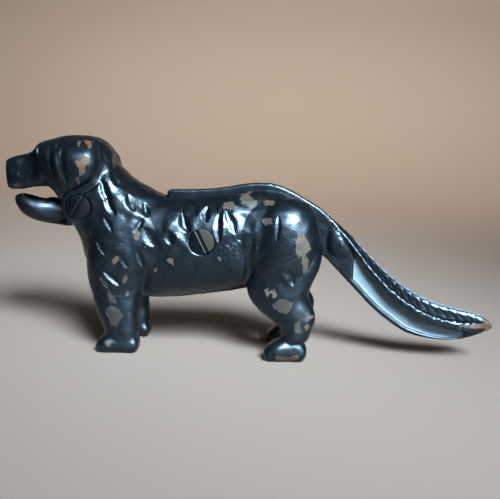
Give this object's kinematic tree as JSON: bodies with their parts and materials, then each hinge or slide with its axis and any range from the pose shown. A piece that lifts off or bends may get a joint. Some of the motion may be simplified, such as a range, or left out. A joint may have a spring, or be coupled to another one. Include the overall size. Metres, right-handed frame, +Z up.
{
  "type": "figural nutcracker",
  "caption": "Cast iron nutcracker shaped as a standing retriever: lifting the feathered tail lever opens the lower jaw.",
  "frame": {"origin": "on the ground under the middle of the dog, between nose and tail tip", "axes": "+X towards the tail tip, so the nose points along -X; -Y out of the side with the screw heads; +Z up"},
  "size_m": [0.2773, 0.0566, 0.1189],
  "materials": {
    "left_half_paint": "worn glossy black paint with bare brown chips",
    "right_half_paint": "worn glossy black paint with bare brown chips",
    "tail_lever_paint": "glossy black paint, rubbed brown at the tail's tip",
    "neck_screw_paint": "painted over black, worn",
    "body_screw_paint": "painted over black, half of it rubbed grey"
  },
  "bodies": {
    "body": {"left_half": "left_half_paint", "right_half": "right_half_paint", "neck_screw": "neck_screw_paint", "body_screw": "body_screw_paint"},
    "lever": {"tail_lever": "tail_lever_paint"}
  },
  "joints": [
    {"name": "tail_lift", "type": "hinge", "parent": "body", "child": "lever", "pos_m": [-0.09436, 0, 0.08032], "axis": [0, -1, 0], "range_deg": [0, 20]}
  ]
}
